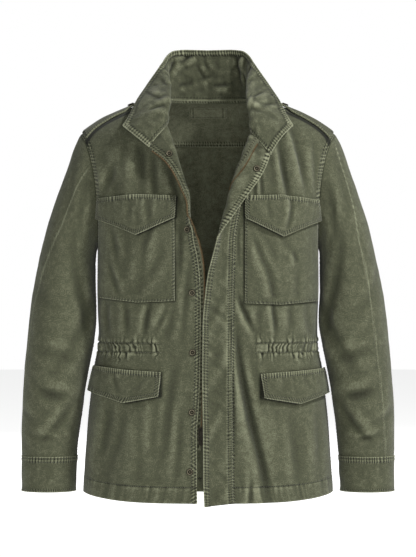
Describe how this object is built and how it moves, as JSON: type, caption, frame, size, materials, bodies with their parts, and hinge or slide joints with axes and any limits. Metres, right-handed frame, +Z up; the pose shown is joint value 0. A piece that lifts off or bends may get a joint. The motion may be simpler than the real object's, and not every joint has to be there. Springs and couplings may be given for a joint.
{
  "type": "field jacket",
  "caption": "Olive cotton field jacket, filled out and open at the front, with a tall collar, flap pockets, epaulettes, gathered waist and a metal zip under a fly.",
  "frame": {"origin": "middle of the neck opening, at the height of the back neck seam", "axes": "+X to the wearer's left, +Y to the back, +Z up along the wearer's neck"},
  "size_m": [0.6864, 0.2761, 0.8396],
  "materials": {
    "cloth": "washed cotton twill",
    "cloth_edge": "washed cotton twill, double, stitched",
    "zip_tape": "woven tape",
    "brass": "dark antique"
  },
  "bodies": {
    "jacket": {"back": "cloth", "back_yoke": "cloth", "front_left": "cloth", "fly_left": "cloth", "front_right": "cloth", "collar": "cloth", "sleeve_left": "cloth", "sleeve_right": "cloth", "cuff_left": "cloth_edge", "cuff_right": "cloth_edge", "epaulette_left": "cloth_edge", "epaulette_right": "cloth_edge", "epaulette_snap_left": "brass", "epaulette_snap_right": "brass", "chest_pocket_left": "cloth", "chest_pocket_right": "cloth", "chest_flap_left": "cloth_edge", "chest_flap_right": "cloth_edge", "hip_flap_left": "cloth_edge", "hip_flap_right": "cloth_edge", "neck_label": "cloth_edge", "zip_tape_left": "zip_tape", "zip_tape_right": "zip_tape", "zip_slider": "brass", "zip_box": "brass", "zip_pin": "brass", "front_snap_1": "brass", "front_snap_2": "brass", "front_snap_3": "brass", "front_snap_4": "brass", "front_snap_5": "brass", "lapel_snap_right": "brass", "fly_snap_left": "brass"},
    "pull": {"zip_pull": "brass"}
  },
  "joints": [
    {"name": "zip_pull_swing", "type": "hinge", "parent": "jacket", "child": "pull", "pos_m": [-0.0126, -0.12855, -0.6], "axis": [-1, 0, 0], "range_deg": [0, 150]}
  ]
}
